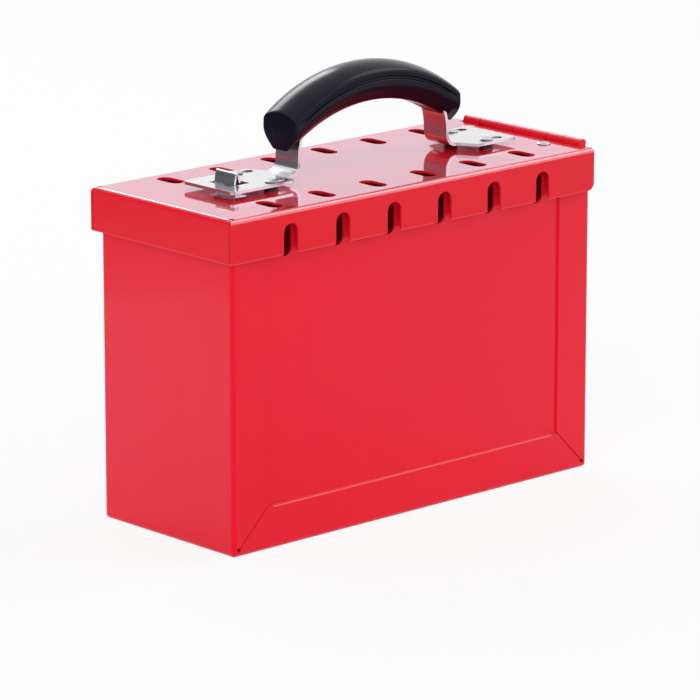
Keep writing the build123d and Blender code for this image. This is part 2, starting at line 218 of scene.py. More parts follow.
def red_paint(sizes, name, red, edge_highlight_z, edge_highlight_share, reach, folds=()):
    """Glossy powder coat: faint clouding, fine orange peel and a gloss that grows at low angles.

    A thin line along one sheet edge is lighter, a painted highlight for the light that the edge catches,
    as far as it reaches either way along X. The folds carry more gloss.
    """
    finish = Finish(bpy.data.materials.new(name))
    clouds = finish.noise(scale=11.0)
    speckle = finish.noise(scale=2600.0, detail=1.0)
    speckle_share, lowest_roughness, roughness_spread, skin_roughness = 0.2, 0.3, 0.1, 0.035
    mottle = clouds * (1.0 - speckle_share) + speckle * speckle_share
    body = finish.blend(mottle, shade(red, 0.95), shade(red, 1.05))
    # Painted highlight: a band of lighter colour along the sheet edge, standing in for the light that the
    # edge catches.
    edge = finish.band(2, edge_highlight_z, sizes.edge_width) * finish.above(0, -reach, EDGE_SOFTNESS)
    edge = edge * finish.above(0, -reach, EDGE_SOFTNESS, way=-1.0) * edge_highlight_share
    bump = finish.bump(finish.noise(scale=sizes.peel_scale), sizes.peel_depth)
    paint = finish.surface(
        Base_Color=finish.blend(edge, body, solid(sizes.edge_highlight_colour)),
        Roughness=clouds * roughness_spread + lowest_roughness, Specular_IOR_Level=0.04, Normal=bump,
    )
    glossed(
        finish, paint, bump, sizes.gloss, sizes.gloss_falloff, sizes.gloss_colour, skin_roughness,
        fold_shine(finish, sizes, folds),
    )
    return finish.data


def rolled_steel(name, colour, roughness, grain, under=(0.0, 0.0, 0.0), shade_and_reflection_below=0.0):
    """Rolled stainless sheet: streaks along the strip, soft stains in its gloss, and below a height an
    underside colour, a painted reflection.
    """
    finish = Finish(bpy.data.materials.new(name))
    streaks = finish.noise(scale=1.0, detail=3.0, coordinates=finish.stretched(grain))
    stains = finish.noise(scale=60.0, detail=3.0)
    stain_spread, streak_spread = 0.14, 0.1
    bright = finish.blend(streaks, shade(colour, 0.9), shade(colour, 1.08))
    # Below this height the colour is the painted underside: a painted reflection in place of bare steel.
    above_painted_underside = finish.above(2, shade_and_reflection_below, PLATE_SOFTNESS)
    varied = stains * stain_spread + streaks * streak_spread
    finish.surface(
        Base_Color=finish.blend(above_painted_underside, solid(under), bright), Metallic=1.0,
        Roughness=varied + (roughness - (stain_spread + streak_spread) / 2),
        Normal=finish.bump(streaks, distance=0.000012, strength=0.5),
    )
    return finish.data


def zinc_steel(sizes, name, shade_and_reflection_below=0.0):
    """Plain plated rivet steel: slightly mottled, and darkened with painted shade on what stands under the
    foot plates.
    """
    finish = Finish(bpy.data.materials.new(name))
    mottle = finish.noise(scale=420.0, detail=3.0)
    lowest_roughness, roughness_spread, painted_shade_dimming = 0.22, 0.2, 0.08
    bright = finish.blend(mottle, shade(sizes.rivet_grey, 0.8), shade(sizes.rivet_grey, 1.15))
    # Painted shade: below the given height the grey is darkened to a small share of itself.
    above_painted_underside = finish.above(2, shade_and_reflection_below, PLATE_SOFTNESS)
    finish.surface(
        Base_Color=finish.blend(above_painted_underside, shade(sizes.rivet_grey, painted_shade_dimming), bright), Metallic=1.0,
        Roughness=mottle * roughness_spread + lowest_roughness,
        Normal=finish.bump(mottle, distance=0.00002, strength=0.6),
    )
    return finish.data


def grip_plastic(sizes):
    """Satin moulded plastic: near black, a fine matt grain and faint rubbed patches."""
    finish = Finish(bpy.data.materials.new("black_moulded_grip"))
    grain = finish.noise(scale=2400.0)
    rubbed = finish.noise(scale=45.0, detail=3.0)
    lowest_roughness, rubbed_spread, grain_spread = 0.12, 0.1, 0.06
    bump = finish.bump(grain, distance=0.00003, strength=0.5)
    plastic = finish.surface(
        Base_Color=finish.blend(rubbed, shade(sizes.grip_black, 0.8), shade(sizes.grip_black, 1.3)),
        Roughness=rubbed * rubbed_spread + grain * grain_spread + lowest_roughness,
        Specular_IOR_Level=0.15, Normal=bump,
    )
    glossed(finish, plastic, bump, strength=0.2, sharpness=8.0, colour=(0.92, 0.95, 1.0), roughness=0.2)
    return finish.data


def pale_floor(sizes):
    """Pale ground: soft shadow kept, lifted towards white where the camera looks at it."""
    finish = Finish(bpy.data.materials.new("pale_floor"))
    drift = finish.noise(scale=1.5)
    ground = finish.surface(
        Base_Color=finish.blend(drift, shade(sizes.floor_colour, 0.985), solid(sizes.floor_colour)),
        Roughness=0.9, Specular_IOR_Level=0.1,
    )
    white = finish.add("ShaderNodeEmission", None, {"Color": (1.0, 1.0, 1.0, 1.0), "Strength": 1.0})
    seen = finish.add("ShaderNodeLightPath", output="Is Camera Ray")
    finish.show_mix(seen * sizes.floor_lift, ground, white)
    return finish.data


def dark_card():
    """Matt charcoal card, noise-mottled, paler towards its foot and seen in reflections alone."""
    finish = Finish(bpy.data.materials.new("charcoal_card"))
    mottle = finish.noise(scale=6.0)
    charcoal = finish.blend(mottle, (0.12, 0.12, 0.135, 1.0), (0.16, 0.16, 0.175, 1.0))
    clear_of_foot = finish.above(2, 0.0, soft=0.07)
    colour = finish.blend(clear_of_foot, (0.8, 0.8, 0.8, 1.0), charcoal)
    finish.surface(Base_Color=colour, Roughness=0.9, Specular_IOR_Level=0.0)
    return finish.data


def faces_of_grid(rows, columns, closed_columns):
    """Quad corner indices of a grid, wrapped round where its columns are closed."""
    row = np.arange(rows - 1)
    column = np.arange(columns if closed_columns else columns - 1)
    i, j = np.meshgrid(row, column, indexing="ij")
    down, right = i + 1, (j + 1) % columns
    quads = [i * columns + j, down * columns + j, down * columns + right, i * columns + right]
    return np.stack(quads, axis=-1).reshape(-1, 4)


def surface_piece(name, points, closed_columns=False, smooth_angle=40.0):
    """Mesh object from a grid of points: doubled points merged, faces turned outwards, edges kept crisp."""
    rows, columns = points.shape[:2]
    mesh = bpy.data.meshes.new(name)
    quads = faces_of_grid(rows, columns, closed_columns)
    mesh.from_pydata(points.reshape(-1, 3).tolist(), [], quads.tolist())
    return finished_piece(name, mesh, smooth_angle)


def finished_piece(name, mesh, smooth_angle):
    """Merges doubled points, turns faces outwards, shades smooth below an angle and links the object."""
    work = bmesh.new()
    work.from_mesh(mesh)
    bmesh.ops.remove_doubles(work, verts=work.verts, dist=MERGE_DISTANCE)
    bmesh.ops.dissolve_degenerate(work, dist=SHORTEST_EDGE, edges=work.edges)
    bmesh.ops.recalc_face_normals(work, faces=work.faces)
    limit = math.radians(smooth_angle)
    for face in work.faces:
        face.smooth = True
    for edge in work.edges:
        edge.smooth = len(edge.link_faces) == 2 and edge.calc_face_angle(0.0) < limit
    work.to_mesh(mesh)
    work.free()
    piece = bpy.data.objects.new(name, mesh)
    bpy.context.scene.collection.objects.link(piece)
    return piece


def joined(name, pieces):
    """One object from several finished pieces."""
    work = bmesh.new()
    for piece in pieces:
        work.from_mesh(piece.data)
        bpy.data.objects.remove(piece)
    mesh = bpy.data.meshes.new(name)
    work.to_mesh(mesh)
    work.free()
    whole = bpy.data.objects.new(name, mesh)
    bpy.context.scene.collection.objects.link(whole)
    return whole


def turned(name, base, axis, profile, steps=64):
    """Surface of revolution: each profile point (radius, height) is carried round the axis from the base."""
    axis = np.array(axis, float)
    side = np.cross(axis, (0.0, 1.0, 0.0) if abs(axis[1]) < 0.5 else (1.0, 0.0, 0.0))
    side /= np.linalg.norm(side)
    other = np.cross(axis, side)
    angle = np.linspace(0.0, 2 * math.pi, steps, endpoint=False)
    radius, height = np.array(profile).T
    ring = np.cos(angle)[:, None] * side + np.sin(angle)[:, None] * other
    points = np.array(base) + radius[:, None, None] * ring[None] + height[:, None, None] * axis
    return surface_piece(name, points, closed_columns=True)


def button(radius, low, high, rim=0.0003, fullness=0.6, steps=8):
    """Profile of a low button head: a straight rim, then an elliptic arc over to the middle."""
    sweep = np.linspace(0.0, math.pi / 2, steps)
    out = radius * np.cos(sweep) ** fullness
    arc = np.stack([out, low + rim + (high - low - rim) * np.sin(sweep)], axis=1)
    arc[-1, 0] = 0.0
    return np.vstack([[[radius - rim / 2, low]], [[radius, low + rim / 2]], arc])


def drum(radius, low, high):
    """Profile of a plain round length."""
    return np.array([[radius, low], [radius, high]])


def rounded_outline(corners, count, run):
    """Closed outline through corner points: resampled evenly by length, then averaged over a short run."""
    closed = np.vstack([corners, corners[:1]])
    length = np.concatenate([[0.0], np.cumsum(np.linalg.norm(np.diff(closed, axis=0), axis=1))])
    places = np.linspace(0.0, length[-1], count, endpoint=False)
    outline = np.stack([np.interp(places, length, closed[:, k]) for k in (0, 1)], axis=1)
    reach = max(1, int(round(run / length[-1] * count / 2)))
    return sum(np.roll(outline, shift, axis=0) for shift in range(-reach, reach + 1)) / (2 * reach + 1)


def grip_outline(sizes, height, cut):
    """Cross-section of the grip as (side, depth): crowned top, grooved sides, flanks drawn in to the keel."""
    half, crown = sizes.half_width, sizes.crown
    edge_round, edge_fall, side_bow, lip_step = 0.0013, 0.0012, 0.0002, 0.0003
    keel_rise, keel_round, corner_run = 0.0004, 0.0008, 0.0006
    across = np.linspace(0.0, half - edge_round, 15)
    radius = (across[-1] ** 2 + crown ** 2) / (2 * crown)
    top = np.stack([across, radius - np.sqrt(radius ** 2 - across ** 2)], axis=1)
    lip, keel = sizes.groove_drop, sizes.keel_half
    flank_top = lip + sizes.groove_width
    fall = np.linspace(0.0, 1.0, 12)[1:]
    flank = np.stack(
        [half - (half - keel) * fall ** 2.0, flank_top + (height - keel_rise - flank_top) * fall], axis=1
    )
    side = [
        [half - side_bow, crown + edge_fall], [half, lip], [half - cut, lip + lip_step],
        [half - cut, flank_top - lip_step], [half, flank_top],
    ]
    right = np.vstack([top, side, flank, [[keel - keel_round, height], [0.0, height]]])
    left = right[-2:0:-1] * (-1.0, 1.0)
    return rounded_outline(np.vstack([right, left]), sizes.outline_points, corner_run)


def wear(piece, material, body, nodes):
    """Gives a piece its material and body, and hides the CAD nodes that it stands for."""
    piece.data.materials.clear()
    piece.data.materials.append(material)
    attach(piece, body)
    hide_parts(*nodes)


def repaint(node, material):
    """Puts a finish on a CAD node that keeps its own shape."""
    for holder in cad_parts[node].material_slots:
        holder.material = material


def finish_named(name):
    """A finish made earlier."""
    return bpy.data.materials[name]


class LockoutBoxFinishes(bpy.types.PropertyGroup):
    """Colours and surface detail of the finishes"""

    paint_red: FloatVectorProperty(
        name="Paint red", description="Colour of the powder coat", subtype="COLOR", size=3,
        default=(0.80, 0.010, 0.028), min=0.0, max=1.0,
    )
    # Painted shade: the lid and hinge get a slightly darker, more orange copy of the paint red, matched to
    # how light falls on them; the box has one paint.
    lid_shaded_red: FloatVectorProperty(
        name="Lid red", description="Colour of the powder coat on the lid and the hinge", subtype="COLOR",
        size=3, default=(0.76, 0.010, 0.021), min=0.0, max=1.0,
    )
    gloss: FloatProperty(
        name="Paint gloss", description="Strength of the gloss at low angles", default=1.22, min=0.0
    )
    gloss_falloff: FloatProperty(
        name="Gloss falloff", description="Power of the facing angle in the gloss", default=3.35, min=1.0
    )
    gloss_colour: FloatVectorProperty(
        name="Gloss colour", description="Tint of the paint's reflections", subtype="COLOR", size=3,
        default=(0.88, 0.88, 1.0), min=0.0, max=1.0,
    )
    peel_scale: FloatProperty(
        name="Orange peel scale", description="How fine the paint's surface waves are, per metre",
        default=520.0,
    )
    peel_depth: FloatProperty(
        name="Orange peel depth", description="Height of the paint's surface waves", default=0.00002,
        unit="LENGTH",
    )
    # Painted highlight: the light lines along sheet edges are colour that stands in for the light the edges
    # catch.
    edge_highlight_colour: FloatVectorProperty(
        name="Edge colour", description="Colour of the thin light lines along sheet edges", subtype="COLOR",
        size=3, default=(0.95, 0.22, 0.22), min=0.0, max=1.0,
    )
    edge_width: FloatProperty(
        name="Edge width", description="Width over which an edge line fades", default=0.0013, unit="LENGTH"
    )
    edge_highlight_strength: FloatProperty(
        name="Edge strength", description="Share of the edge colour", default=0.7, min=0.0, max=1.0,
        subtype="FACTOR",
    )
    flange_height: FloatProperty(
        name="Flange height", description="From the panel's bottom up to the flange's edge", default=0.0169,
        unit="LENGTH",
    )
    mitre_inset: FloatProperty(
        name="Mitre inset", description="From the lid's end in to the flange's mitre", default=0.0243,
        unit="LENGTH",
    )
    fold_gloss: FloatProperty(
        name="Fold gloss", description="Added gloss on the lid's folds", default=0.12, min=0.0, max=1.0
    )
    fold_width: FloatProperty(
        name="Fold width", description="How far a fold reaches in from the lid's side", default=0.0014,
        unit="LENGTH",
    )
    fold_height: FloatProperty(
        name="Fold height", description="Height above the table at which the folds start", default=0.1608,
        unit="LENGTH",
    )
    barrel_shine_drop: FloatProperty(
        name="Barrel shine drop", description="From the pin's top down to where the barrel's gloss starts",
        default=0.0002, unit="LENGTH",
    )
    plate_drop: FloatProperty(
        name="Plate drop", description="From the posts' tops down to just over the foot plates' underside",
        default=0.00305, unit="LENGTH",
    )
    steel_grey: FloatVectorProperty(
        name="Strap steel", description="Colour of the stainless strap", subtype="COLOR", size=3,
        default=(0.74, 0.74, 0.76), min=0.0, max=1.0,
    )
    # Painted reflection: the foot plates' underside is coloured red to stand in for the red lid mirrored in
    # it; the real steel is bare.
    underside_reflection_red: FloatVectorProperty(
        name="Underside red", description="Colour of the foot plates' underside, reddened by the lid",
        subtype="COLOR", size=3, default=(0.42, 0.02, 0.035), min=0.0, max=1.0,
    )
    rivet_grey: FloatVectorProperty(
        name="Rivet steel", description="Colour of the plated rivets", subtype="COLOR", size=3,
        default=(0.52, 0.52, 0.53), min=0.0, max=1.0,
    )
    grip_black: FloatVectorProperty(
        name="Grip black", description="Colour of the moulded grip", subtype="COLOR", size=3,
        default=(0.005, 0.005, 0.012), min=0.0, max=1.0,
    )
    floor_colour: FloatVectorProperty(
        name="Floor colour", description="Colour of the pale ground", subtype="COLOR", size=3,
        default=(0.90, 0.90, 0.91), min=0.0, max=1.0,
    )
    floor_lift: FloatProperty(
        name="Floor lift", description="How far the seen floor is lifted towards white", default=0.84,
        min=0.0, max=1.0, subtype="FACTOR",
    )


class LockoutBoxGripSizes(bpy.types.PropertyGroup):
    """Sizes of the moulded grip that the photograph shows beyond the solid"""

    stations: IntProperty(name="Stations", description="Cross-sections along the grip", default=121, min=9)
    outline_points: IntProperty(
        name="Outline points", description="Points round each cross-section", default=220, min=40
    )
    half_width: FloatProperty(
        name="Half width", description="From the middle to either side", default=0.0122, unit="LENGTH"
    )
    arch_radius: FloatProperty(
        name="Arch radius", description="Radius of the arched top", default=0.090, unit="LENGTH"
    )
    top_drop: FloatProperty(
        name="Top drop", description="From the solid's highest point down to the arch", default=0.0019,
        unit="LENGTH",
    )
    section_height: FloatProperty(
        name="Section height", description="Height of every upright cross-section", default=0.0188,
        unit="LENGTH",
    )
    crown: FloatProperty(
        name="Crown", description="Fall of the top from its middle to its edge", default=0.0029, unit="LENGTH"
    )
    groove_drop: FloatProperty(
        name="Groove drop", description="Depth below the top at which the side groove starts", default=0.0064,
        unit="LENGTH",
    )
    groove_width: FloatProperty(
        name="Side groove width", description="Width of the groove along each side", default=0.0019,
        unit="LENGTH",
    )
    groove_depth: FloatProperty(
        name="Side groove depth", description="Depth of the groove along each side", default=0.0012,
        unit="LENGTH",
    )
    groove_fade: FloatProperty(
        name="Groove fade", description="Length over which the groove runs out at either end", default=0.007,
        unit="LENGTH",
    )
    keel_half: FloatProperty(
        name="Keel half width", description="Half the width of the underside", default=0.0068, unit="LENGTH"
    )
    end_taper: FloatProperty(
        name="End taper", description="How far the lower flanks draw in at either end", default=0.25,
        subtype="FACTOR", min=0.0, max=0.8,
    )
    taper_length: FloatProperty(
        name="Taper length", description="Length over which each end draws in", default=0.0055, unit="LENGTH"
    )
    end_round: FloatProperty(
        name="End rounding", description="Radius of the rounding round each end face", default=0.0011,
        unit="LENGTH",
    )


class LockoutBoxHingeSizes(bpy.types.PropertyGroup):
    """Sizes of the rolled barrel"""

    barrel_radius: FloatProperty(
        name="Barrel radius", description="Outer radius of the knuckles", default=0.0024, unit="LENGTH"
    )
    bore_clearance: FloatProperty(
        name="Bore clearance", description="From the pin out to where the knuckles stay as they are",
        default=0.00015, unit="LENGTH",
    )
    tolerance: FloatProperty(
        name="Tolerance", description="How far past the solid's radius a point still counts as the barrel's",
        default=0.00002, unit="LENGTH",
    )


class LockoutBoxKeeperSizes(bpy.types.PropertyGroup):
    """Sizes of the folded hook that stands through the foot plate"""

    sheet: FloatProperty(name="Sheet", description="Thickness of the hook", default=0.001, unit="LENGTH")
    width: FloatProperty(name="Width", description="Width of the hook", default=0.0140, unit="LENGTH")
    leg_x: FloatProperty(
        name="Leg place", description="Place of the leaning leg's middle along X at the tip's height",
        default=-0.0802, unit="LENGTH",
    )
    shelf_drop: FloatProperty(
        name="Shelf drop", description="From the solid's top down to the middle of the shelf", default=0.0119,
        unit="LENGTH",
    )
    top_drop: FloatProperty(
        name="Top drop", description="From the solid's top down to the fold", default=0.0002, unit="LENGTH"
    )
    fold_radius: FloatProperty(
        name="Fold radius", description="Radius of the sheet's middle in the fold", default=0.0006,
        unit="LENGTH",
    )
    corner_radius: FloatProperty(
        name="Corner radius", description="Radius of the sheet's middle where the shelf turns up",
        default=0.0016, unit="LENGTH",
    )
    lean: FloatProperty(
        name="Lean", description="How far the first leg leans from the vertical", default=math.radians(9.0),
        subtype="ANGLE",
    )
    slant: FloatProperty(
        name="Slant", description="How far the second leg falls below the horizontal",
        default=math.radians(72.0), subtype="ANGLE",
    )
    tip_z: FloatProperty(
        name="Tip height", description="Height of the tip above the table", default=0.1672, unit="LENGTH"
    )


class LockoutBoxRivetSizes(bpy.types.PropertyGroup):
    """Sizes of the rivets and shoulder posts inside the outline of their solids"""

    solid_head_radius: FloatProperty(
        name="Solid head radius", description="Radius of the heads in the solids", default=0.0042,
        unit="LENGTH",
    )
    solid_post_head: FloatProperty(
        name="Solid post head", description="Height of the posts' heads in the solids", default=0.0013,
        unit="LENGTH",
    )
    shank_radius: FloatProperty(
        name="Shank radius", description="Radius of every shank and post", default=0.002, unit="LENGTH"
    )
    tail_radius: FloatProperty(
        name="Tail radius", description="Radius of the formed tails", default=0.0032, unit="LENGTH"
    )
    tail_height: FloatProperty(
        name="Tail height", description="Height of the formed tails", default=0.001, unit="LENGTH"
    )
    head_radius: FloatProperty(
        name="Head radius", description="Radius of the rivets' heads", default=0.0034, unit="LENGTH"
    )
    head_height: FloatProperty(
        name="Head height", description="Height of the hinge rivets' heads", default=0.0010, unit="LENGTH"
    )
    keeper_head_height: FloatProperty(
        name="Keeper head height", description="Height of the keeper rivets' heads", default=0.0006,
        unit="LENGTH",
    )
    post_head_radius: FloatProperty(
        name="Post head radius", description="Radius of the shoulder posts' heads", default=0.0034,
        unit="LENGTH",
    )
    post_head_height: FloatProperty(
        name="Post head height", description="Height of the shoulder posts' heads", default=0.0007,
        unit="LENGTH",
    )
    collar_radius: FloatProperty(
        name="Collar radius", description="Radius of the posts' collars on the lid", default=0.0034,
        unit="LENGTH",
    )
    collar_height: FloatProperty(
        name="Collar height", description="Height of the posts' collars on the lid", default=0.002,
        unit="LENGTH",
    )


class LockoutBoxCamera(bpy.types.PropertyGroup):
    """Where the picture is taken from"""

    azimuth: FloatProperty(
        name="Azimuth", description="Direction of the camera round the box", default=math.radians(-42.75),
        subtype="ANGLE",
    )
    elevation: FloatProperty(
        name="Elevation", description="Height of the camera above the horizon", default=math.radians(14.46),
        subtype="ANGLE",
    )
    distance: FloatProperty(
        name="Distance", description="From the camera to the box", default=2.370, unit="LENGTH"
    )
    rise: FloatProperty(
        name="Rise", description="How far the view's middle is above the box's bottom, along its own up",
        default=0.06925, unit="LENGTH",
    )
    lens: FloatProperty(name="Lens", description="Focal length in millimetres", default=248.2)


class LOCKOUTBOX_OT_finishes(bpy.types.Operator):
    """Make the paints, steels, rivet finishes and the grip's plastic"""

    bl_idname = "lockoutbox.finishes"
    bl_label = "Make finishes"

    def execute(self, context):
        sizes = context.scene.lockoutbox_finishes
        low, high = corners("lid")
        plate_underside = corners("guide_posts")[1][2] - sizes.plate_drop
        sides = [(1, high[1] - sizes.fold_width, way) for way in (1.0, -1.0)]
        flange_end = high[0] - sizes.mitre_inset
        flange_z = corners("front_panel")[0][2] + sizes.flange_height
        barrel_shine = corners("hinge_pin")[1][2] - sizes.barrel_shine_drop
        # Painted highlights: a light colour line along the flange's edge on the body, and a weaker one along
        # the lid's skirt bottom.
        skirt_highlight_strength, whole_length = sizes.edge_highlight_strength * 0.4, 1.0
        along_x, along_y = (40.0, 900.0, 900.0), (900.0, 40.0, 900.0)
        red_paint(sizes, "red_powder_coat", sizes.paint_red, flange_z, sizes.edge_highlight_strength, flange_end)
        # Painted shade: the lid and the hinge take the darker copy of the paint red.
        red_paint(sizes, "red_lid_shaded_coat", sizes.lid_shaded_red, low[2], skirt_highlight_strength, whole_length, sides)
        red_paint(
            sizes, "red_hinge_shaded_coat", sizes.lid_shaded_red, edge_highlight_z=0.0, edge_highlight_share=0.0, reach=whole_length,
            folds=[(2, barrel_shine, 1.0)],
        )
        # Painted reflection: the strap below the foot plates' underside takes the red that the lid mirrors
        # into it.
        rolled_steel(
            "stainless_strap", sizes.steel_grey, roughness=0.2, grain=along_x, under=sizes.underside_reflection_red,
            shade_and_reflection_below=plate_underside,
        )
        keeper_grey = shade(sizes.steel_grey, 0.9)[:3]
        rolled_steel("stainless_keeper", keeper_grey, roughness=0.24, grain=along_y)
        zinc_steel(sizes, "zinc_rivet_steel")
        # Painted shade on the posts below the foot plates' underside.
        zinc_steel(sizes, "zinc_post_steel", plate_underside)
        grip_plastic(sizes)
        return {"FINISHED"}


class LOCKOUTBOX_OT_paint_box(bpy.types.Operator):
    """Paint the sheet-steel body, the lid and the hinge pin"""

    bl_idname = "lockoutbox.paint_box"
    bl_label = "Paint the box"

    def execute(self, context):
        paint = finish_named("red_powder_coat")
        for node in ("body_wrap", "front_panel", "back_panel"):
            repaint(node, paint)
        repaint("hinge_pin", finish_named("red_hinge_shaded_coat"))
        repaint("lid", finish_named("red_lid_shaded_coat"))
        return {"FINISHED"}


class LOCKOUTBOX_OT_hinge(bpy.types.Operator):
    """Roll both hinge leaves with a slimmer barrel"""

    bl_idname = "lockoutbox.hinge"
    bl_label = "Roll the hinge"

    def execute(self, context):
        for node, body in (("lid_hinge_leaf", "lid"), ("body_hinge_leaf", "body")):
            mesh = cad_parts[node].data.copy()
            points = np.empty(len(mesh.vertices) * 3)
            mesh.vertices.foreach_get("co", points)
            mesh.vertices.foreach_set("co", self.slimmed(points.reshape(-1, 3), context.scene).ravel())
            piece = finished_piece(node + "_rolled", mesh, smooth_angle=35.0)
            wear(piece, finish_named("red_hinge_shaded_coat"), body, (node,))
        return {"FINISHED"}

    def slimmed(self, points, scene):
        """The knuckles' points drawn in towards the pin's axis, by a share that grows from the bore out."""
        sizes = scene.lockoutbox_hinge
        low, high = corners("hinge_pin")
        axis = (low + high)[[0, 2]] / 2
        bore = (high - low)[2] / 2 + sizes.bore_clearance
        solid_radius = corners("lid_hinge_leaf")[1][0] - axis[0]
        away = points[:, [0, 2]] - axis
        radius = np.linalg.norm(away, axis=1)
        drawn = bore + (radius - bore) * (sizes.barrel_radius - bore) / (solid_radius - bore)
        rolled = (radius > bore) & (radius < solid_radius + sizes.tolerance)
        share = np.where(rolled, drawn / np.maximum(radius, bore), 1.0)
        points[:, [0, 2]] = axis + away * share[:, None]
        return points


class LOCKOUTBOX_OT_strap(bpy.types.Operator):
    """Finish the handle strap in bare steel"""

    bl_idname = "lockoutbox.strap"
    bl_label = "Finish the strap"

    def execute(self, context):
        repaint("handle_strap", finish_named("stainless_strap"))
        return {"FINISHED"}


class LOCKOUTBOX_OT_keeper(bpy.types.Operator):
    """Fold the latch keeper's hook over its bracket"""

    bl_idname = "lockoutbox.keeper"
    bl_label = "Fold the keeper"

    def execute(self, context):
        sizes = context.scene.lockoutbox_keeper
        bracket = self.bracket(sizes)
        hook = surface_piece("hook", self.hook(sizes), closed_columns=True)
        piece = joined("keeper_folded", (bracket, hook))
        wear(piece, finish_named("stainless_keeper"), "body", ("latch_keeper",))
        return {"FINISHED"}

    def bracket(self, sizes):
        """Copy of the solid's mesh up to where the hook starts, its cut closed."""
        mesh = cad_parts["latch_keeper"].data.copy()
        work = bmesh.new()
        work.from_mesh(mesh)
        bmesh.ops.remove_doubles(work, verts=work.verts, dist=MERGE_DISTANCE)
        cut_rise = sizes.sheet * 0.7
        height = corners("latch_keeper")[1][2] - sizes.shelf_drop + cut_rise
        everything = work.verts[:] + work.edges[:] + work.faces[:]
        cut = bmesh.ops.bisect_plane(
            work, geom=everything, plane_co=(0.0, 0.0, height), plane_no=(0.0, 0.0, 1.0), clear_outer=True
        )["geom_cut"]
        edges = [part for part in cut if isinstance(part, bmesh.types.BMEdge)]
        bmesh.ops.holes_fill(work, edges=edges, sides=0)
        work.to_mesh(mesh)
        work.free()
        return finished_piece("bracket", mesh, smooth_angle=35.0)

    def hook(self, sizes):
        """Flat strip along a path of four runs: out along the shelf, up, round a tight fold, down to the tip.

        Each station carries a closed rectangle: half the sheet either way across the path, half the width
        either way along Y. The first and last stations shrink to a point to close the ends.
        """
        top = corners("latch_keeper")[1][2]
        half, fold, corner = sizes.sheet / 2, sizes.fold_radius, sizes.corner_radius
        lean, slant, shelf = sizes.lean, math.pi / 2 + sizes.slant, top - sizes.shelf_drop
        shelf_run, corner_steps, fold_steps = 0.004, 7, 10

        def leg(z):
            """Place along X of the leaning leg's middle at a height."""
            return sizes.leg_x + (z - sizes.tip_z) * math.tan(lean)

        rise = np.linspace(math.pi / 2, lean, corner_steps)
        corner_end = shelf + corner * (1.0 - math.sin(lean))
        corner_middle = np.array([leg(corner_end) - corner * math.cos(lean), shelf + corner])
        turn = np.linspace(lean, slant, fold_steps)
        fold_z = top - sizes.top_drop - half - fold
        fold_start = fold_z + fold * math.sin(lean)
        fold_middle = np.array([leg(fold_start) + fold * math.cos(lean), fold_z])
        bend = fold_middle - fold * np.stack([np.cos(turn), -np.sin(turn)], axis=1)
        lift = corner_middle + corner * np.stack([np.cos(rise), -np.sin(rise)], axis=1)
        down = np.array([math.sin(slant), math.cos(slant)])
        tip = bend[-1] + down * (bend[-1, 1] - sizes.tip_z - half) / -down[1]
        start = lift[0] - (shelf_run, 0.0)
        path = np.vstack([start, start, lift, bend, tip, tip])
        turns = np.concatenate([[math.pi / 2] * 2, rise, turn, [slant] * 2])
        way = np.stack([np.sin(turns), np.cos(turns)], axis=1)
        across = np.stack([way[:, 1], -way[:, 0]], axis=1)
        size = np.ones(len(path))
        size[0] = size[-1] = 0.0
        ring = np.array([[1.0, 1.0], [1.0, -1.0], [-1.0, -1.0], [-1.0, 1.0]])
        offset = across[:, None, :] * (ring[:, 0] * half)[None, :, None] * size[:, None, None]
        side = path[:, None, :] + offset
        y = ring[None, :, 1] * (sizes.width / 2) * size[:, None]
        return np.stack([side[..., 0], y, side[..., 1]], axis=-1)


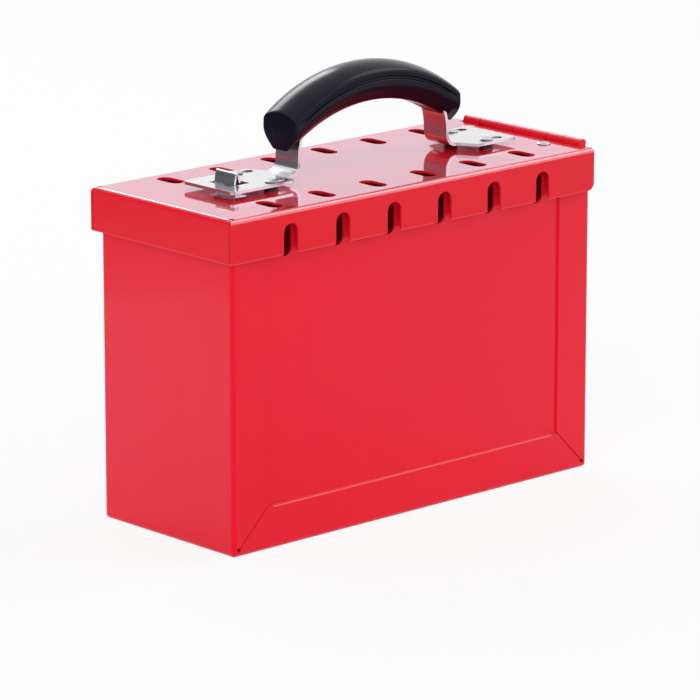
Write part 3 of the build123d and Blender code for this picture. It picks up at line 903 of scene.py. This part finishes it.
class LOCKOUTBOX_OT_rivets(bpy.types.Operator):
    """Turn the hinge rivets, the keeper rivets and the shoulder posts"""

    bl_idname = "lockoutbox.rivets"
    bl_label = "Turn the rivets and posts"

    def execute(self, context):
        sizes = context.scene.lockoutbox_rivets
        wall_low, wall_high = corners("body_wrap")
        rows = (
            ("lid_hinge_rivets", "lid", 2, 1.0, corners("lid")[1][2], sizes.head_height),
            ("body_hinge_rivets", "body", 0, 1.0, wall_high[0], sizes.head_height),
            ("keeper_rivets", "body", 0, -1.0, -wall_low[0], sizes.keeper_head_height),
        )
        for node, body, axis, outward, surface, height in rows:
            seat = surface - self.start(node, axis, outward)
            head = button(sizes.head_radius, seat, seat + height)
            profile = np.vstack([self.tail(sizes), [[sizes.shank_radius, seat]], head])
            self.turn_row(node, body, axis, outward, profile)
        self.turn_row("guide_posts", "lid", 2, 1.0, self.post_profile(sizes))
        return {"FINISHED"}

    def start(self, node, axis, outward):
        """Where the tails of a node's rivets start, measured along their outward direction."""
        low, high = corners(node)
        return low[axis] if outward > 0 else -high[axis]

    def turn_row(self, node, body, axis, outward, profile):
        """One turned piece at every place where the node has a solid, all joined."""
        low, high = corners(node)
        direction = np.zeros(3)
        direction[axis] = outward
        sides = [k for k in range(3) if k != axis]
        head = bpy.context.scene.lockoutbox_rivets.solid_head_radius
        places = [sorted({round(low[k] + head, 6), round(high[k] - head, 6)}) for k in sides]
        pieces = []
        for first in places[0]:
            for second in places[1]:
                base = np.zeros(3)
                base[axis] = outward * self.start(node, axis, outward)
                base[sides[0]], base[sides[1]] = first, second
                pieces.append(turned("turned", base, direction, profile))
        finish = "zinc_post_steel" if node == "guide_posts" else "zinc_rivet_steel"
        wear(joined(node + "_turned", pieces), finish_named(finish), body, (node,))

    def tail(self, sizes):
        """Profile of the formed tail, from its middle out and up to the shank."""
        chamfer = sizes.tail_height * 0.3
        return np.array([
            [0.0, 0.0], [sizes.tail_radius - chamfer, 0.0], [sizes.tail_radius, chamfer],
            [sizes.tail_radius, sizes.tail_height], [sizes.shank_radius, sizes.tail_height],
        ])

    def post_profile(self, sizes):
        """Tail, post, collar on the lid, post through the foot plate's slot and head over it."""
        low, high = corners("guide_posts")
        lid_top, shank = corners("lid")[1][2] - low[2], sizes.shank_radius
        collar_top, seat = lid_top + sizes.collar_height, high[2] - low[2] - sizes.solid_post_head
        return np.vstack([
            self.tail(sizes), [[shank, lid_top]], drum(sizes.collar_radius, lid_top, collar_top),
            [[shank, collar_top], [shank, seat]],
            button(sizes.post_head_radius, seat, seat + sizes.post_head_height),
        ])


class LOCKOUTBOX_OT_grip(bpy.types.Operator):
    """Mould the arched grip with its crown, side grooves and rounded ends"""

    bl_idname = "lockoutbox.grip"
    bl_label = "Mould the grip"

    def execute(self, context):
        sizes = context.scene.lockoutbox_grip
        piece = surface_piece("grip_moulding", self.surface(sizes), closed_columns=True, smooth_angle=50.0)
        wear(piece, finish_named("black_moulded_grip"), "handle", ("handle_grip",))
        return {"FINISHED"}

    def surface(self, sizes):
        """Sections along X under a circular arch.

        The arch's height is top - (radius - the root of radius squared less x squared).
        Each end face is closed by rings that shrink the end section about its middle: a quarter round first,
        then straight in to one point.
        """
        low, high = corners("handle_grip")
        reach = (high[0] - low[0]) / 2
        radius, top = sizes.arch_radius, high[2] - sizes.top_drop
        round_steps, groove_end, taper_depth = 7, 0.001, 0.008
        turn = np.linspace(0.0, math.pi / 2, round_steps)
        inset = sizes.end_round * (1.0 - np.sin(turn))
        shrink = np.concatenate([[1.0], inset / sizes.half_width])
        along = np.concatenate([[reach], reach - sizes.end_round * (1.0 - np.cos(turn))])
        inner = np.linspace(-1.0, 1.0, sizes.stations) * (reach - sizes.end_round)
        x = np.concatenate([-along, inner[1:-1], along[::-1]])
        scale = 1.0 - np.concatenate([shrink, np.zeros(len(inner) - 2), shrink[::-1]])
        fade = np.clip((reach - groove_end - np.abs(x)) / sizes.groove_fade, 0.0, 1.0)[:, None]
        grooved = grip_outline(sizes, sizes.section_height, sizes.groove_depth)
        plain = grip_outline(sizes, sizes.section_height, 0.0)
        share = np.clip((np.abs(x) - reach + sizes.taper_length) / sizes.taper_length, 0.0, 1.0)
        taper = sizes.end_taper * share ** 2 * (3.0 - 2.0 * share)
        side = plain[:, 0] + (grooved - plain)[:, 0] * fade
        depth = plain[:, 1] + (grooved - plain)[:, 1] * fade
        deep = np.clip((depth - taper_depth) / (sizes.section_height - taper_depth), 0.0, 1.0)
        side = side * (1.0 - taper[:, None] * deep ** 2.0)
        middle = sizes.section_height * 0.45
        arch = top - (radius - np.sqrt(radius ** 2 - x ** 2))
        y = side * scale[:, None]
        z = arch[:, None] - (middle + (depth - middle) * scale[:, None])
        centre = (low[0] + high[0]) / 2
        return np.stack([np.broadcast_to(centre + x[:, None], y.shape), y, z], axis=-1)


class LOCKOUTBOX_OT_stage(bpy.types.Operator):
    """Lay the floor, set the soft lights and the surrounding, and place the camera"""

    bl_idname = "lockoutbox.stage"
    bl_label = "Set the stage"

    def execute(self, context):
        scene = context.scene
        scene.view_settings.view_transform = "Standard"
        self.lay_floor(scene.lockoutbox_finishes)
        self.stand_card()
        self.surround(scene)
        self.hang_lights()
        self.place_camera(scene, scene.lockoutbox_camera)
        return {"FINISHED"}

    def lay_floor(self, sizes):
        """Flat square of ground under the box."""
        reach = 12.0
        ends = (-reach, reach)
        floor = surface_piece("floor", np.array([[[x, y, 0.0] for y in ends] for x in ends]))
        floor.data.materials.append(pale_floor(sizes))

    def stand_card(self):
        """Upright card behind the left end, which only reflections meet."""
        middle, span, height = np.array((-0.39, 0.40)), np.array((0.711, 0.657)), 0.5
        feet = (middle - span / 2, middle + span / 2)
        points = np.array([[[*foot, z] for z in (0.0, height)] for foot in feet])
        card = surface_piece("card", points)
        card.data.materials.append(dark_card())
        card.visible_camera = card.visible_diffuse = card.visible_shadow = False

    def surround(self, scene):
        """White to the camera and in reflections, plain soft light for everything else."""
        world = scene.world or bpy.data.worlds.new("studio")
        scene.world = world
        finish = Finish(world)
        path = finish.nodes.new("ShaderNodeLightPath")
        seen = Value(finish, path.outputs["Is Camera Ray"])
        mirrored = Value(finish, path.outputs["Is Glossy Ray"])
        through = Value(finish, path.outputs["Is Transmission Ray"])
        shown = seen.highest(mirrored).highest(through)
        soft = 0.58
        background = finish.nodes["Background"]
        background.inputs["Color"].default_value = (1.0, 1.0, 1.0, 1.0)
        finish.feed(background.inputs["Strength"], shown * (1.0 - soft) + soft)

    def hang_lights(self):
        """Rows: name, place, size, watts, lights matt surfaces, is seen in reflections."""
        target = Vector((0.0, 0.0, 0.1))
        softboxes = (
            ("key", (-2.05, -1.3, 1.1), (1.8, 1.8), 26.0, True, False),
            ("fill", (1.4, -1.9, 1.0), (1.6, 1.6), 5.0, True, True),
            ("right_top", (1.5, -0.5, 1.9), (1.2, 1.2), 12.0, True, True),
            ("back_top", (0.2, 1.5, 1.5), (1.2, 0.9), 10.0, True, False),
            ("back_shine", (0.5, 1.6, 1.1), (1.1, 0.6), 11.0, False, True),
        )
        for name, place, size, watts, lights, shines in softboxes:
            lamp = bpy.data.lights.new(name, "AREA")
            lamp.shape = "RECTANGLE"
            lamp.size, lamp.size_y = size
            lamp.energy = watts
            holder = bpy.data.objects.new(name, lamp)
            bpy.context.scene.collection.objects.link(holder)
            holder.visible_diffuse, holder.visible_glossy = lights, shines
            holder.location = place
            holder.rotation_mode = "QUATERNION"
            holder.rotation_quaternion = (target - Vector(place)).to_track_quat("-Z", "Y")

    def place_camera(self, scene, sizes):
        """Camera turned round the box and tilted down at it, then raised along the view's own up."""
        turn, tilt = sizes.azimuth, sizes.elevation
        back = Vector(
            (math.sin(turn) * math.cos(tilt), -math.cos(turn) * math.cos(tilt), math.sin(tilt))
        )
        right = Vector((math.cos(turn), math.sin(turn), 0.0))
        lens = bpy.data.cameras.new("camera")
        lens.lens, lens.sensor_width = sizes.lens, 36.0
        camera = bpy.data.objects.new("camera", lens)
        scene.collection.objects.link(camera)
        camera.location = back * sizes.distance + back.cross(right) * sizes.rise
        camera.rotation_mode = "QUATERNION"
        camera.rotation_quaternion = (-back).to_track_quat("-Z", "Y")
        scene.camera = camera


class LOCKOUTBOX_PT_panel(bpy.types.Panel):
    """Sidebar panel with every step of dressing the box"""

    bl_idname = "LOCKOUTBOX_PT_panel"
    bl_label = "Lockout box"
    bl_space_type = "VIEW_3D"
    bl_region_type = "UI"
    bl_category = "Lockout box"

    def draw(self, context):
        for operator in OPERATORS:
            self.layout.operator(operator.bl_idname)


GROUPS = {
    "lockoutbox_finishes": LockoutBoxFinishes,
    "lockoutbox_grip": LockoutBoxGripSizes,
    "lockoutbox_hinge": LockoutBoxHingeSizes,
    "lockoutbox_keeper": LockoutBoxKeeperSizes,
    "lockoutbox_rivets": LockoutBoxRivetSizes,
    "lockoutbox_camera": LockoutBoxCamera,
}
OPERATORS = (
    LOCKOUTBOX_OT_stage,
    LOCKOUTBOX_OT_finishes,
    LOCKOUTBOX_OT_paint_box,
    LOCKOUTBOX_OT_hinge,
    LOCKOUTBOX_OT_strap,
    LOCKOUTBOX_OT_keeper,
    LOCKOUTBOX_OT_rivets,
    LOCKOUTBOX_OT_grip,
)


def register():
    for group in GROUPS.values():
        bpy.utils.register_class(group)
    for name, group in GROUPS.items():
        setattr(bpy.types.Scene, name, PointerProperty(type=group))
    for operator in OPERATORS:
        bpy.utils.register_class(operator)
    bpy.utils.register_class(LOCKOUTBOX_PT_panel)


def unregister():
    bpy.utils.unregister_class(LOCKOUTBOX_PT_panel)
    for operator in reversed(OPERATORS):
        bpy.utils.unregister_class(operator)
    for name, group in GROUPS.items():
        delattr(bpy.types.Scene, name)
        bpy.utils.unregister_class(group)


def main():
    """Registers the classes and runs every step in order."""
    register()
    for operator in OPERATORS:
        group, step = operator.bl_idname.split(".")
        getattr(getattr(bpy.ops, group), step)()


if __name__ == "__main__":
    main()
